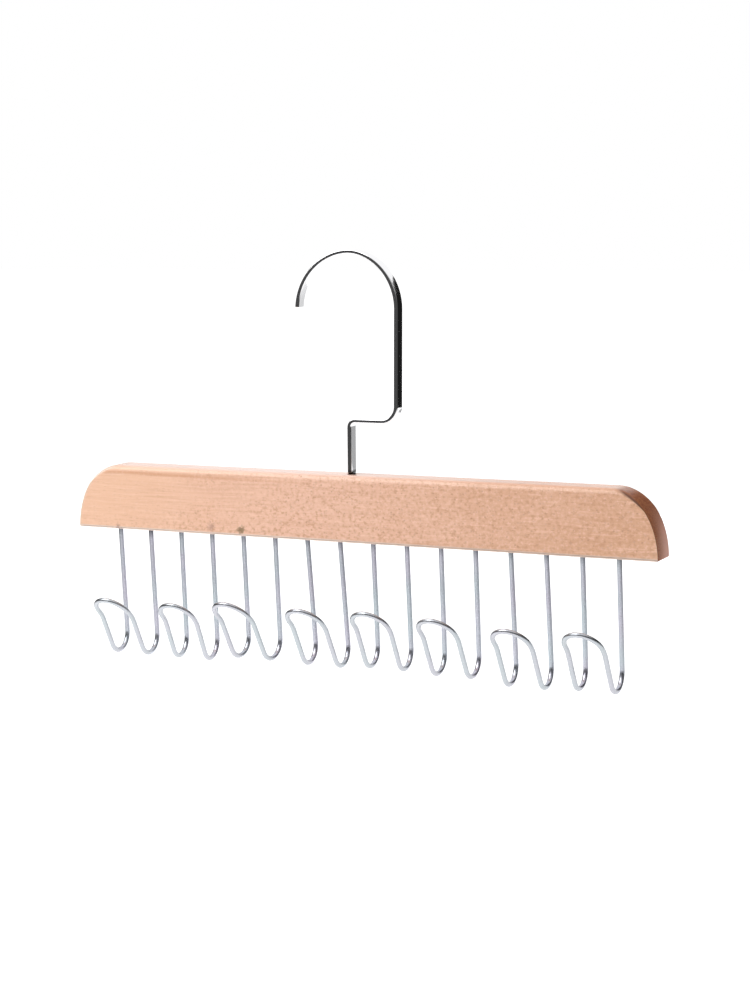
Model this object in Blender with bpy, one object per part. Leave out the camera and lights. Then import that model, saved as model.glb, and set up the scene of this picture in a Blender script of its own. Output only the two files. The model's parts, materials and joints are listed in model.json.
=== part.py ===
"""Wooden hanger with a swivelling flat-strip hook above and eight bent wire hooks below.

Metres, +Z up. +X runs along the bar, and the front of the hanger faces -Y. The origin is the rail
seat: the highest point of the crook's inner face, at the middle of the strip.
"""

import math

import bmesh
import bpy

# Wooden bar
BAR_LENGTH = 0.280
BAR_THICKNESS = 0.0156
BAR_HEIGHT = 0.0295
BAR_END_SWEEP = 0.021
BAR_TOP_ROUND = 0.0028
BAR_EDGE_ROUND = 0.0004
BAR_EDGE_BLEND = 0.009
BAR_OFFSET = 0.0028
END_ARC_STEPS = 20
EDGE_STEPS = 3

# Top hook: the strip, then its bends from the bar up to the tip, all measured to the strip's middle
STRIP_THICKNESS = 0.0019
STRIP_WIDTH = 0.0056
STRIP_EDGE_ROUND = 0.0006
CROOK_BACK_RADIUS = 0.02503
CROOK_CROWN_RADIUS = 0.01825
CROOK_FRONT_RADIUS = 0.02595
CROWN_BACK_TURN = math.radians(19)
CROWN_FRONT_TURN = math.radians(7.2)
CROOK_FRONT_TURN = math.radians(79.2)
SHANK_LENGTH = 0.04894
SHANK_LEAN = math.radians(0.5)
SHANK_BEND_RADIUS = 0.0068
JOG_LENGTH = 0.02239
STEM_BEND_RADIUS = 0.0029
STEM_HEIGHT = 0.0238
CROOK_STEPS = 13
CROWN_STEPS = 4
BEND_STEPS = 6
CORNER_STEPS = 3

# Swivel inside the bar
PIN_RADIUS = 0.00175
SHOULDER_TAPER = 0.0009
HEAD_RADIUS = 0.0028
HEAD_THICKNESS = 0.0016
HEAD_CHAMFER = 0.0005
HEAD_RECESS = 0.0014
BUSH_WALL = 0.0007
BUSH_COVER = 0.0015
WASHER_RADIUS = 0.0034
WASHER_THICKNESS = 0.0008
FIT_GAP = 0.0003
TURN_STEPS = 24

# Wire hooks, measured to the wire's middle
HOOK_COUNT = 8
WIRE_RADIUS = 0.0011
OUTER_LEG_MARGIN = 0.01835
WIRE_ROW_OFFSET = -0.00085
WIRE_SEAT_DEPTH = 0.014
LEG_LENGTH = 0.0487
LEG_LEAN = math.radians(4.4)
U_BEND_RADIUS = 0.0075
FRONT_TILT = math.radians(29.4)
FRONT_LENGTH = 0.0149
LIP_RADIUS = 0.0138
LIP_TURN = math.radians(20)
LIP_LENGTH = 0.0014
LOOP_HEIGHT = 0.0105
U_BEND_STEPS = 10
LIP_STEPS = 3
LOOP_STEPS = 14
WIRE_SIDES_RESOLUTION = 2
HOLE_SIDES = 12
CUT_OVERRUN = 0.002

# Each wire hook is bent by hand, so it differs a little from the next: how far it hangs below or above the
# usual height, as a share of the play, and how far its legs and its loop lean sideways
HANG_PLAY = 0.0016
HANG_SHARES = (0.85, 0.85, -0.65, -0.4, -1, -0.5, 0.7, 0.15)
LEG_SIDE_LEANS_DEG = (0.0, -0.4, 0.0, 2.1, 0.3, 0.1, 1.2, 0.4)
LOOP_SKEWS_DEG = (1.3, 4.8, -4.7, 0.9, 1.0, -1.3, 0.1, -0.3)

# Levels and places that follow from the sizes above
BACK_RADIUS_GAIN = CROOK_BACK_RADIUS - CROOK_CROWN_RADIUS
BACK_CENTRE_X = -BACK_RADIUS_GAIN * math.sin(CROWN_BACK_TURN)
BACK_CENTRE_Z = STRIP_THICKNESS / 2 - CROOK_CROWN_RADIUS - BACK_RADIUS_GAIN * math.cos(CROWN_BACK_TURN)
SHANK_FOOT_X = BACK_CENTRE_X + CROOK_BACK_RADIUS * math.cos(SHANK_LEAN) - SHANK_LENGTH * math.sin(SHANK_LEAN)
JOG_Z = BACK_CENTRE_Z - CROOK_BACK_RADIUS * math.sin(SHANK_LEAN) - SHANK_LENGTH * math.cos(SHANK_LEAN)
SWIVEL_X = SHANK_FOOT_X - JOG_LENGTH
BAR_TOP_Z = JOG_Z - STEM_HEIGHT
BAR_BASE_Z = BAR_TOP_Z - BAR_HEIGHT
LEG_PITCH = (BAR_LENGTH - 2 * OUTER_LEG_MARGIN) / (2 * HOOK_COUNT - 1)
BUSH_BORE_RADIUS = PIN_RADIUS + FIT_GAP
BUSH_RADIUS = BUSH_BORE_RADIUS + BUSH_WALL
BORE_RADIUS = BUSH_RADIUS + FIT_GAP
COUNTERBORE_RADIUS = WASHER_RADIUS + FIT_GAP
WASHER_BASE = HEAD_RECESS + HEAD_THICKNESS + FIT_GAP
COUNTERBORE_DEPTH = WASHER_BASE + WASHER_THICKNESS + FIT_GAP
SHOULDER_LEVEL = BAR_HEIGHT + FIT_GAP
BORE_DEPTH = BAR_HEIGHT - BUSH_COVER
HOLE_RADIUS = WIRE_RADIUS + FIT_GAP

SHARP_ANGLE = math.radians(35)


def clear_scene():
    for item in list(bpy.data.objects):
        bpy.data.objects.remove(item, do_unlink=True)


def make_material(name, colour, roughness, metallic):
    material = bpy.data.materials.new(name)
    material.use_nodes = True
    shader = material.node_tree.nodes["Principled BSDF"]
    shader.inputs["Base Color"].default_value = (*colour, 1)
    shader.inputs["Roughness"].default_value = roughness
    shader.inputs["Metallic"].default_value = metallic
    return material


def add_object(name, data, material, parent):
    item = bpy.data.objects.new(name, data)
    bpy.context.scene.collection.objects.link(item)
    item.parent = parent
    if material:
        data.materials.append(material)
    return item


def loft(name, rings, looped=False):
    """A mesh through rings of equal point counts, capped at both ends or closed on itself."""
    mesh_edit = bmesh.new()
    rows = [[mesh_edit.verts.new(point) for point in ring] for ring in rings]
    pairs = list(zip(rows, rows[1:]))
    if looped:
        pairs.append((rows[-1], rows[0]))
    else:
        mesh_edit.faces.new(rows[0])
        mesh_edit.faces.new(rows[-1])
    for low, high in pairs:
        for i in range(len(low)):
            j = (i + 1) % len(low)
            mesh_edit.faces.new((low[i], low[j], high[j], high[i]))
    bmesh.ops.recalc_face_normals(mesh_edit, faces=mesh_edit.faces)
    mesh = bpy.data.meshes.new(name)
    mesh_edit.to_mesh(mesh)
    mesh_edit.free()
    mesh.shade_smooth()
    mesh.set_sharp_from_angle(angle=SHARP_ANGLE)
    return mesh


def circle(radius, z, count):
    """Points of a level circle round the Z axis."""
    angles = [math.tau * i / count for i in range(count)]
    return [(radius * math.cos(a), radius * math.sin(a), z) for a in angles]


def walk(start, heading, steps):
    """Follows straight runs and turns in a plane, from a start point and heading.

    A step is ("run", length) or ("turn", radius, signed angle, pieces). Returns every point met, with the
    heading there.
    """
    x, y = start
    trail = [(x, y, heading)]
    for step in steps:
        if step[0] == "run":
            x += step[1] * math.cos(heading)
            y += step[1] * math.sin(heading)
            trail.append((x, y, heading))
            continue
        _, radius, turn, pieces = step
        part = turn / pieces
        chord = 2 * radius * math.sin(abs(part) / 2)
        for _ in range(pieces):
            x += chord * math.cos(heading + part / 2)
            y += chord * math.sin(heading + part / 2)
            heading += part
            trail.append((x, y, heading))
    return trail


def cut(target, cutter):
    """Takes the cutter's shape out of the target and leaves the cutter as a guide."""
    cutter.hide_render = True
    cutter.display_type = "WIRE"
    boolean = target.modifiers.new(cutter.name, "BOOLEAN")
    boolean.operation = "DIFFERENCE"
    boolean.solver = "EXACT"
    boolean.object = cutter


def edge_round_at(z):
    """Radius of the bar's edges at a height: softened low down, growing to the full round along the top."""
    share = max(0, (z - BAR_HEIGHT + BAR_EDGE_BLEND) / BAR_EDGE_BLEND)
    return BAR_EDGE_ROUND + (BAR_TOP_ROUND - BAR_EDGE_ROUND) * share


def bar_outline():
    """The bar seen from the front, anticlockwise from its lower left corner."""
    left = BAR_OFFSET - BAR_LENGTH / 2
    right = BAR_OFFSET + BAR_LENGTH / 2
    angles = [math.pi / 2 * i / END_ARC_STEPS for i in range(END_ARC_STEPS + 1)]
    reach = [BAR_END_SWEEP * (1 - math.cos(a)) for a in angles]
    height = [BAR_HEIGHT * math.sin(a) for a in angles]
    right_end = [(right - r, h) for r, h in zip(reach, height)]
    left_end = [(left + r, h) for r, h in zip(reach, height)]
    return right_end + left_end[::-1]


def inward_steps(outline):
    """For each point of an anticlockwise outline, the shift that moves both its sides in by one unit."""
    steps = []
    for i, (x, z) in enumerate(outline):
        before = outline[i - 1]
        after = outline[(i + 1) % len(outline)]
        a = math.atan2(z - before[1], x - before[0])
        b = math.atan2(after[1] - z, after[0] - x)
        half = ((b - a + math.pi) % math.tau - math.pi) / 2
        middle = a + half + math.pi / 2
        steps.append((math.cos(middle) / math.cos(half), math.sin(middle) / math.cos(half)))
    return steps


def bar_rings():
    """Rings of the bar from its front face to its back face, with all edges rounded."""
    outline = bar_outline()
    steps = inward_steps(outline)
    angles = [math.pi / 2 * i / EDGE_STEPS for i in range(EDGE_STEPS + 1)]
    layers = [(-1, a) for a in angles] + [(1, a) for a in reversed(angles)]
    rings = []
    for side, a in layers:
        ring = []
        for (x, z), (step_x, step_z) in zip(outline, steps):
            radius = edge_round_at(z)
            inset = radius * (1 - math.sin(a))
            y = side * (BAR_THICKNESS / 2 - radius * (1 - math.cos(a)))
            ring.append((x + step_x * inset, y, z + step_z * inset))
        rings.append(ring)
    return rings


def swivel_bore():
    """Cutter round the swivel axis: the washer's counterbore, the bush's bore and the pin's hole above it."""
    rings = [
        circle(COUNTERBORE_RADIUS, -CUT_OVERRUN, TURN_STEPS),
        circle(COUNTERBORE_RADIUS, COUNTERBORE_DEPTH, TURN_STEPS),
        circle(BORE_RADIUS, COUNTERBORE_DEPTH, TURN_STEPS),
        circle(BORE_RADIUS, BORE_DEPTH, TURN_STEPS),
        circle(BUSH_BORE_RADIUS, BORE_DEPTH, TURN_STEPS),
        circle(BUSH_BORE_RADIUS, BAR_HEIGHT + CUT_OVERRUN, TURN_STEPS),
    ]
    return loft("swivel_bore_cutter", rings)


def wire_hole(x):
    """Rings of one leaning blind hole that opens in the bar's underside at x."""
    rings = []
    for depth in (-CUT_OVERRUN, WIRE_SEAT_DEPTH + HANG_PLAY + FIT_GAP):
        y_shift = -depth * math.sin(LEG_LEAN)
        z_shift = depth * math.cos(LEG_LEAN)
        ring = []
        for across, along, _ in circle(HOLE_RADIUS, 0, HOLE_SIDES):
            tilted_y = along * math.cos(LEG_LEAN)
            tilted_z = along * math.sin(LEG_LEAN)
            ring.append((x + across, y_shift + tilted_y, z_shift + tilted_z))
        rings.append(ring)
    return rings


def wire_holes():
    """One cutter mesh that holds every wire's hole."""
    mesh_edit = bmesh.new()
    for hook in range(HOOK_COUNT):
        for side in (-1, 1):
            x = hook_middle(hook) + side * LEG_PITCH / 2
            single = loft("wire_hole", wire_hole(x))
            mesh_edit.from_mesh(single)
            bpy.data.meshes.remove(single)
    mesh = bpy.data.meshes.new("wire_hole_cutter")
    mesh_edit.to_mesh(mesh)
    mesh_edit.free()
    return mesh


def make_bar(parent, wood):
    bar = add_object("wooden_bar", loft("wooden_bar", bar_rings()), wood, parent)
    cut(bar, add_object("swivel_bore_cutter", swivel_bore(), None, parent))
    cut(bar, add_object("wire_hole_cutter", wire_holes(), None, parent))
    return bar


def strip_section():
    """The flat strip's section as (across its thickness, across its width), corners rounded."""
    points = []
    for quarter in range(4):
        for i in range(CORNER_STEPS + 1):
            a = math.pi / 2 * (quarter + i / CORNER_STEPS)
            sign_u = 1 if quarter in (0, 3) else -1
            sign_v = 1 if quarter in (0, 1) else -1
            u = sign_u * (STRIP_THICKNESS / 2 - STRIP_EDGE_ROUND) + STRIP_EDGE_ROUND * math.cos(a)
            v = sign_v * (STRIP_WIDTH / 2 - STRIP_EDGE_ROUND) + STRIP_EDGE_ROUND * math.sin(a)
            points.append((u, v))
    return points


def round_section(radius):
    """A round section with as many points as the strip's, in the same order."""
    count = 4 * (CORNER_STEPS + 1)
    angles = [math.tau * (i + 1 / 2) / count for i in range(count)]
    return [(radius * math.cos(a), radius * math.sin(a)) for a in angles]


def place_section(section, x, z, heading):
    """Sets a section square to the path at (x, z), its width along Y."""
    across_x = math.sin(heading)
    across_z = -math.cos(heading)
    return [(x + u * across_x, v, z + u * across_z) for u, v in section]


def hook_rings():
    """Rings of the top hook from its peened head, up through the bar, to the tip of the crook."""
    up = math.pi / 2
    shoulder_z = BAR_BASE_Z + SHOULDER_LEVEL
    head_z = BAR_BASE_Z + HEAD_RECESS
    head_top_z = head_z + HEAD_THICKNESS
    pin = [
        (HEAD_RADIUS - HEAD_CHAMFER, head_z),
        (HEAD_RADIUS, head_z + HEAD_CHAMFER),
        (HEAD_RADIUS, head_top_z),
        (PIN_RADIUS, head_top_z),
        (PIN_RADIUS, shoulder_z),
    ]
    rings = [place_section(round_section(radius), SWIVEL_X, z, up) for radius, z in pin]
    strip_z = shoulder_z + SHOULDER_TAPER
    bend_turn = up - SHANK_LEAN
    bend_reach = SHANK_BEND_RADIUS * math.tan(bend_turn / 2)
    steps = [
        ("run", JOG_Z - STEM_BEND_RADIUS - strip_z),
        ("turn", STEM_BEND_RADIUS, -up, BEND_STEPS),
        ("run", JOG_LENGTH - STEM_BEND_RADIUS - bend_reach),
        ("turn", SHANK_BEND_RADIUS, bend_turn, BEND_STEPS),
        ("run", SHANK_LENGTH - bend_reach),
        ("turn", CROOK_BACK_RADIUS, up + SHANK_LEAN - CROWN_BACK_TURN, CROOK_STEPS),
        ("turn", CROOK_CROWN_RADIUS, CROWN_BACK_TURN + CROWN_FRONT_TURN, CROWN_STEPS),
        ("turn", CROOK_FRONT_RADIUS, CROOK_FRONT_TURN, CROOK_STEPS),
    ]
    section = strip_section()
    for x, z, heading in walk((SWIVEL_X, strip_z), up, steps):
        rings.append(place_section(section, x, z, heading))
    return rings


def make_top_hook(steel):
    return add_object("top_hook", loft("top_hook", hook_rings()), steel, None)


def ring_of(name, inner, outer, low, high):
    """A plain ring round the swivel axis with square edges."""
    corners = [(inner, low), (outer, low), (outer, high), (inner, high)]
    return loft(name, [circle(radius, z, TURN_STEPS) for radius, z in corners], looped=True)


def make_swivel_fittings(parent, steel):
    bush_top = BORE_DEPTH - FIT_GAP
    bush = ring_of("hook_bush", BUSH_BORE_RADIUS, BUSH_RADIUS, COUNTERBORE_DEPTH, bush_top)
    add_object("hook_bush", bush, steel, parent)
    washer_top = WASHER_BASE + WASHER_THICKNESS
    washer = ring_of("hook_washer", BUSH_BORE_RADIUS, WASHER_RADIUS, WASHER_BASE, washer_top)
    add_object("hook_washer", washer, steel, parent)


def hook_middle(hook):
    """Place along the bar of a wire hook's middle, counted from the left."""
    return BAR_OFFSET + WIRE_ROW_OFFSET + (2 * hook + 1 - HOOK_COUNT) * LEG_PITCH


def wire_side_view(hang):
    """Half of a wire hook seen from the side: (y, z, heading) from its end in the bar to the loop."""
    down = LEG_LEAN - math.pi / 2
    seat = WIRE_SEAT_DEPTH - hang
    start = (-seat * math.cos(down), -seat * math.sin(down))
    steps = [
        ("run", seat),
        ("run", LEG_LENGTH + hang),
        ("turn", U_BEND_RADIUS, FRONT_TILT - LEG_LEAN - math.pi, U_BEND_STEPS),
        ("run", FRONT_LENGTH),
        ("turn", LIP_RADIUS, LIP_TURN, LIP_STEPS),
        ("run", LIP_LENGTH),
    ]
    return walk(start, down, steps)


def wire_route(hook):
    """The wire's middle line from one end in the bar, round the loop, to the other end."""
    hang = HANG_PLAY * HANG_SHARES[hook % len(HANG_SHARES)]
    side_lean = math.tan(math.radians(LEG_SIDE_LEANS_DEG[hook % len(LEG_SIDE_LEANS_DEG)]))
    skew = math.tan(math.radians(LOOP_SKEWS_DEG[hook % len(LOOP_SKEWS_DEG)]))
    side_view = wire_side_view(hang)
    half = LEG_PITCH / 2
    left = [(-half, y, z) for y, z, _ in side_view]
    right = [(half, y, z) for y, z, _ in reversed(side_view)]
    loop_y, loop_z, heading = side_view[-1]
    loop = []
    for i in range(1, LOOP_STEPS):
        a = math.pi * i / LOOP_STEPS
        rise = LOOP_HEIGHT * math.sin(a)
        y = loop_y + rise * math.cos(heading)
        z = loop_z + rise * math.sin(heading)
        loop.append((-half * math.cos(a), y, z))
    foot_place = 2
    foot_y = side_view[foot_place][0]
    route = left + loop + right
    points = []
    for i, (x, y, z) in enumerate(route):
        shift = side_lean * max(0, -z)
        if min(i, len(route) - 1 - i) > foot_place:
            shift += skew * (foot_y - y)
        points.append((hook_middle(hook) + x + shift, y, z))
    return points


def make_wire_hook(hook, parent, steel):
    """One wire hook as a round tube along its route."""
    name = f"wire_hook_{hook + 1}"
    curve = bpy.data.curves.new(name, "CURVE")
    curve.dimensions = "3D"
    curve.bevel_depth = WIRE_RADIUS
    curve.bevel_resolution = WIRE_SIDES_RESOLUTION
    curve.use_fill_caps = True
    spline = curve.splines.new("POLY")
    route = wire_route(hook)
    spline.points.add(len(route) - 1)
    for point, place in zip(spline.points, route):
        point.co = (*place, 1)
    return add_object(name, curve, steel, parent)


def main():
    clear_scene()
    wood = make_material("beech_wood", (0.80, 0.55, 0.38), 0.55, 0)
    polished = make_material("polished_steel", (0.75, 0.75, 0.76), 0.15, 1)
    plated = make_material("zinc_plated_wire", (0.70, 0.72, 0.78), 0.3, 1)
    plain = make_material("plain_steel", (0.55, 0.55, 0.56), 0.4, 1)
    swivel = bpy.data.objects.new("swivel_axis", None)
    bpy.context.scene.collection.objects.link(swivel)
    swivel.location = (SWIVEL_X, 0, BAR_BASE_Z)
    make_top_hook(polished)
    make_bar(swivel, wood)
    make_swivel_fittings(swivel, plain)
    for hook in range(HOOK_COUNT):
        make_wire_hook(hook, swivel, plated)


main()
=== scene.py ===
"""Looks of the multi-hook hanger: beech bar, polished swivel hook and eight zinc-plated wire hooks.

Metres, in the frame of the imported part: +X along the bar, front towards -Y, +Z up, origin at the rail seat.
"""

import json
import math

import bmesh
import bpy
from mathutils import Matrix, Vector


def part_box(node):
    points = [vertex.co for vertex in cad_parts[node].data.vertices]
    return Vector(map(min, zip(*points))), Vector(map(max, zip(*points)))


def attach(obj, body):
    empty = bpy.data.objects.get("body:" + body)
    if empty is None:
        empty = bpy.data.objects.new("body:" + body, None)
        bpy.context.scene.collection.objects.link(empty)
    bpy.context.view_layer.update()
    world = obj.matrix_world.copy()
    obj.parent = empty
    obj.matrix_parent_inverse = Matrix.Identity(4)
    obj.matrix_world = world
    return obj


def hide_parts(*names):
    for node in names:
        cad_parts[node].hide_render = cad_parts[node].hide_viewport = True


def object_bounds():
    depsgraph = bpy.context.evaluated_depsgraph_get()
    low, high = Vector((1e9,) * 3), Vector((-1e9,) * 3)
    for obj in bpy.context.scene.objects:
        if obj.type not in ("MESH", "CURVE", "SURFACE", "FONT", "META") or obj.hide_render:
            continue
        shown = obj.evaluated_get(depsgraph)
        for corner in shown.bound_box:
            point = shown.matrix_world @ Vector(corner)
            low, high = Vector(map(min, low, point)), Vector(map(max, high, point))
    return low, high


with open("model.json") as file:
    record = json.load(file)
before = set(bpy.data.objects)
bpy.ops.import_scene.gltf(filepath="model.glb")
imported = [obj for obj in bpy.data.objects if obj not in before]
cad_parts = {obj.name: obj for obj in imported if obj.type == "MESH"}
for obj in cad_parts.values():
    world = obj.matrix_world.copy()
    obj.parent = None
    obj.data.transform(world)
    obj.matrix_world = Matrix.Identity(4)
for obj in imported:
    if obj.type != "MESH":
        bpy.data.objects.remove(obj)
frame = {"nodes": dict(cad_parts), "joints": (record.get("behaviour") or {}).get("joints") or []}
cad_low, cad_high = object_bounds()

MM = 0.001
SHARP_ANGLE = math.radians(35)

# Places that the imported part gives
bar_low, bar_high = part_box("wooden_bar")
BAR_LEFT = bar_low.x
BAR_RIGHT = bar_high.x
BAR_BASE = bar_low.z
BAR_TOP = bar_high.z
BAR_FRONT = bar_low.y
BAR_BACK = bar_high.y
BAR_LENGTH = BAR_RIGHT - BAR_LEFT
BAR_HEIGHT = BAR_TOP - BAR_BASE
BAR_THICKNESS = BAR_BACK - BAR_FRONT
BAR_MIDDLE = (BAR_LEFT + BAR_RIGHT) / 2
SWIVEL_X = frame["joints"][0]["pos_m"][0]

# Wooden bar
END_SWEEP = 21 * MM
TOP_ROUND = 2.8 * MM
EDGE_ROUND = 0.2 * MM
EDGE_BLEND = 9 * MM
CORNER_ROUND = 0.5 * MM
HOLDING_INSET = 0.5 * MM
END_ARC_STEPS = 72
CORNER_ARC_STEPS = 5
EDGE_STEPS = 8
MOUTH_CHAMFER = 0.25 * MM
CUT_OVERRUN = 2 * MM
HOLE_SIDES = 32
BORE_SIDES = 64

# Top hook: its flat strip and the bends from the bar up to the tip
STRIP_THICKNESS = 1.9 * MM
STRIP_WIDTH = 5.6 * MM
STRIP_EDGE_ROUND = 0.5 * MM
STRIP_CROWN = 0.02 * MM
STRIP_HOLDING_INSET = 0.04 * MM
CROOK_BACK_RADIUS = 25.03 * MM
CROOK_CROWN_RADIUS = 18.25 * MM
CROOK_FRONT_RADIUS = 25.95 * MM
CROWN_BACK_TURN = math.radians(19)
CROWN_FRONT_TURN = math.radians(7.2)
CROOK_FRONT_TURN = math.radians(79.2)
SHANK_LENGTH = 48.94 * MM
SHANK_LEAN = math.radians(0.5)
SHANK_BEND_RADIUS = 6.8 * MM
JOG_LENGTH = 22.39 * MM
STEM_BEND_RADIUS = 2.9 * MM
TIP_BEVEL = 0.15 * MM
CROOK_STEPS = 40
CROWN_STEPS = 16
BEND_STEPS = 18
FACE_STEPS = 8
CORNER_STEPS = 5

# Swivel inside the bar
PIN_RADIUS = 1.75 * MM
SHOULDER_TAPER = 0.9 * MM
SHOULDER_STEPS = 6
HEAD_RADIUS = 2.8 * MM
HEAD_THICKNESS = 1.6 * MM
HEAD_RECESS = 1.4 * MM
HEAD_DOME_STEPS = 6
BUSH_WALL = 0.7 * MM
BUSH_COVER = 1.5 * MM
WASHER_RADIUS = 3.4 * MM
WASHER_THICKNESS = 0.8 * MM
FIT_GAP = 0.3 * MM

# Wire hooks
HOOK_COUNT = 8
WIRE_RADIUS = 1.1 * MM
WIRE_HOLE_GAP = 0.08 * MM
OUTER_LEG_MARGIN = 18.35 * MM
WIRE_ROW_OFFSET = -0.85 * MM
WIRE_SEAT_DEPTH = 14 * MM
LEG_LENGTH = 48.7 * MM
LEG_LEAN = math.radians(4.4)
U_BEND_RADIUS = 7.5 * MM
FRONT_TILT = math.radians(29.4)
FRONT_LENGTH = 14.9 * MM
LIP_RADIUS = 13.8 * MM
LIP_TURN = math.radians(20)
LIP_LENGTH = 1.4 * MM
LOOP_HEIGHT = 10.5 * MM

# By hook, from the left: how much lower it hangs, as a share of the play, and its legs' and loop's leans
HANG_PLAY = 1.6 * MM
HANG_SHARES = (0.85, 0.85, -0.65, -0.4, -1, -0.5, 0.7, 0.15)
LEG_SIDE_LEANS_DEG = (0.0, -0.4, 0.0, 2.1, 0.3, 0.1, 1.2, 0.4)
LOOP_SKEWS_DEG = (1.3, 4.8, -4.7, 0.9, 1.0, -1.3, 0.1, -0.3)

# Points along a straight run, in each bend of a wire and round it
LEG_STEPS = 12
U_BEND_STEPS = 28
LIP_STEPS = 8
LOOP_STEPS = 44
WIRE_SIDES = 24

# Places that follow from these sizes
LEG_PITCH = (BAR_LENGTH - 2 * OUTER_LEG_MARGIN) / (2 * HOOK_COUNT - 1)
BACK_RADIUS_GAIN = CROOK_BACK_RADIUS - CROOK_CROWN_RADIUS
BACK_CENTRE_Z = STRIP_THICKNESS / 2 - CROOK_CROWN_RADIUS - BACK_RADIUS_GAIN * math.cos(CROWN_BACK_TURN)
JOG_Z = BACK_CENTRE_Z - CROOK_BACK_RADIUS * math.sin(SHANK_LEAN) - SHANK_LENGTH * math.cos(SHANK_LEAN)

# Camera of the photograph: its place in metres, then its turn to the left, tilt down and roll in radians
PHOTO_WIDTH_PX = 750
PHOTO_HEIGHT_PX = 1000
FOCAL_LENGTH_PX = 2115.9
OPTICAL_CENTRE_PX = (371.37, 491.83)
SENSOR_WIDTH_MM = 36
CAMERA_PLACE = (0.39855, -0.8371, 0.013355)
CAMERA_TURN = 0.4352
CAMERA_TILT = 0.1266
CAMERA_ROLL = -0.0078

# Studio: the floor, which glows more for the eye from near to far, the world and two lamps
FLOOR_DROP = 0.12
FLOOR_Z = cad_low.z - FLOOR_DROP
FLOOR_HALF_SIZE = 12.0
FLOOR_ALBEDO = 0.9
FLOOR_NEAR_LIFT = 0.5
FLOOR_FAR_LIFT = 0.95
FLOOR_NEAR = 0.4
FLOOR_FAR = 2.5
AMBIENT_STRENGTH = 0.3
WHITE_STRENGTH = 1.0
LAMP_DISTANCE = 1.35
LAMP_SIZE = 1.8
KEY_POWER = 25.4
KEY_AZIMUTH = math.radians(-42)
KEY_ELEVATION = math.radians(38)
FILL_POWER = 8.0
FILL_AZIMUTH = math.radians(190)
FILL_ELEVATION = math.radians(10)

# Dark cards that only the metal sees, as a photographer sets round chrome to draw its edges. They are
# outlines in (x, z), upright at one y, each with how brightly it shows, where 1 is white.
SIDE_CARD_Y = 0.3
SIDE_CARD_GLOW = 0.010
SIDE_CARD = (
    (0.118, -0.116),
    (2.0, -0.116),
    (2.0, 0.24),
    (0.24, 0.24),
    (0.21, 0.05),
    (0.16, 0.058),
    (0.149, 0.071),
    (0.127, 0.0915),
    (0.0955, 0.1024),
    (0.052, 0.1035),
    (0.062, 0.084),
    (0.082, 0.068),
    (0.097, 0.050),
    (0.110, 0.030),
    (0.119, 0.008),
    (0.118, -0.05),
)
NEAR_CARD_Y = 0.12
STEM_CARD_GLOW = 0.41
STEM_CARD = ((0.035, -0.1125), (0.06, -0.1125), (0.069, -0.101), (0.069, -0.088), (0.035, -0.088))
TIP_CARD_GLOW = 0.70
TIP_CARD = ((0.01, -0.09), (0.05, -0.09), (0.05, -0.022), (0.01, -0.022))
TIP_FADE_Z = (-0.04, -0.09)

# A dark round wall about the hanger, in pieces with gaps between: from and to which azimuth, in degrees,
# and the top's height. Azimuths count from straight behind the hanger towards its right, seen from above.
# The wall pales to white upwards, and so does its skirt downwards, which slopes in from the wall's base to
# just over the floor.
WALL_GLOW = 0.06
WALL_RADIUS = 0.8
WALL_BASE_Z = -0.225
WALL_PIECE_DEG = 5
WALLS = ((-205, -170, 1.8), (-170, -105, 0.3), (-105, -55, 1.8), (-55, -35, -0.06), (35, 155, 1.8))
WALL_FADE_Z = (0.0, 0.95)
SKIRT_RADIUS = 0.45
SKIRT_Z = -0.295


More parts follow.
